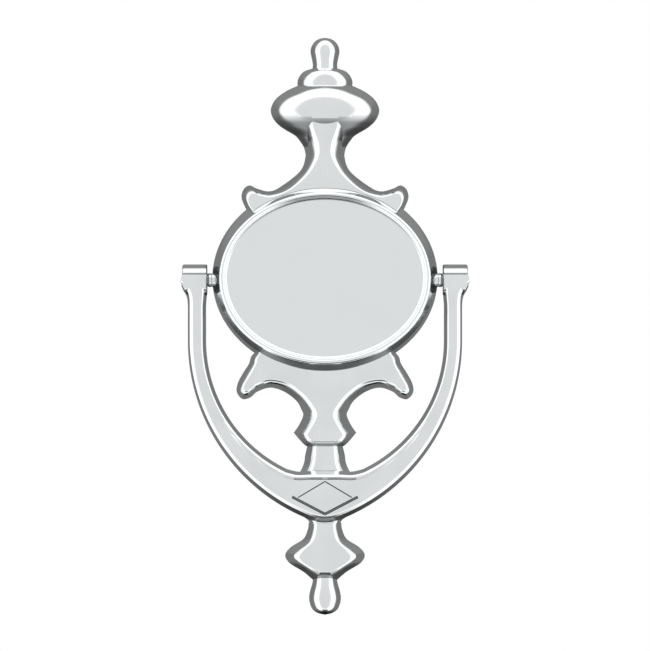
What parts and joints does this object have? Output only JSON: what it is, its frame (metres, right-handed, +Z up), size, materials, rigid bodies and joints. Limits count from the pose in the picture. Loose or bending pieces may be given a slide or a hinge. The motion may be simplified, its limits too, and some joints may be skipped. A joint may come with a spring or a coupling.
{
  "type": "door knocker",
  "caption": "Door knocker with a raised oval plate on an urn-topped back plate, and a bail that swings on side pins to strike an anvil below.",
  "frame": {"origin": "midway between the two mounting studs, on the door plane", "axes": "+X to the viewer's right, +Y along the studs into the door, +Z up; the front faces -Y"},
  "size_m": [0.1018, 0.0703, 0.203],
  "materials": {
    "chrome_casting": "polished chrome on a cast back plate",
    "chrome_oval": "polished chrome with a plain flat field",
    "chrome_bail": "polished chrome on a cast bail",
    "chrome_small": "polished chrome on turned pieces",
    "striker_metal": "satin chrome, worn bright where the two meet",
    "pivot_steel": "turned stainless steel",
    "steel_screw": "zinc plated steel",
    "stud_steel": "zinc plated threaded steel"
  },
  "bodies": {
    "plate": {"back_plate": "chrome_casting", "oval_plate": "chrome_oval", "oval_plate_screw_left": "steel_screw", "oval_plate_screw_right": "steel_screw", "anvil_button": "striker_metal", "pivot_pin_left": "pivot_steel", "pivot_pin_right": "pivot_steel", "pivot_washer_left": "chrome_small", "pivot_washer_right": "chrome_small", "mounting_stud_upper": "stud_steel", "mounting_stud_lower": "stud_steel", "finish_washer_upper": "chrome_small", "finish_washer_lower": "chrome_small", "cap_nut_upper": "chrome_small", "cap_nut_lower": "chrome_small"},
    "bail": {"knocker_bail": "chrome_bail", "striker_stud": "striker_metal"}
  },
  "joints": [
    {"name": "bail_swing", "type": "hinge", "parent": "plate", "child": "bail", "pos_m": [0, -0.009, 0.0178], "axis": [-1, 0, 0], "range_deg": [0, 165]}
  ]
}
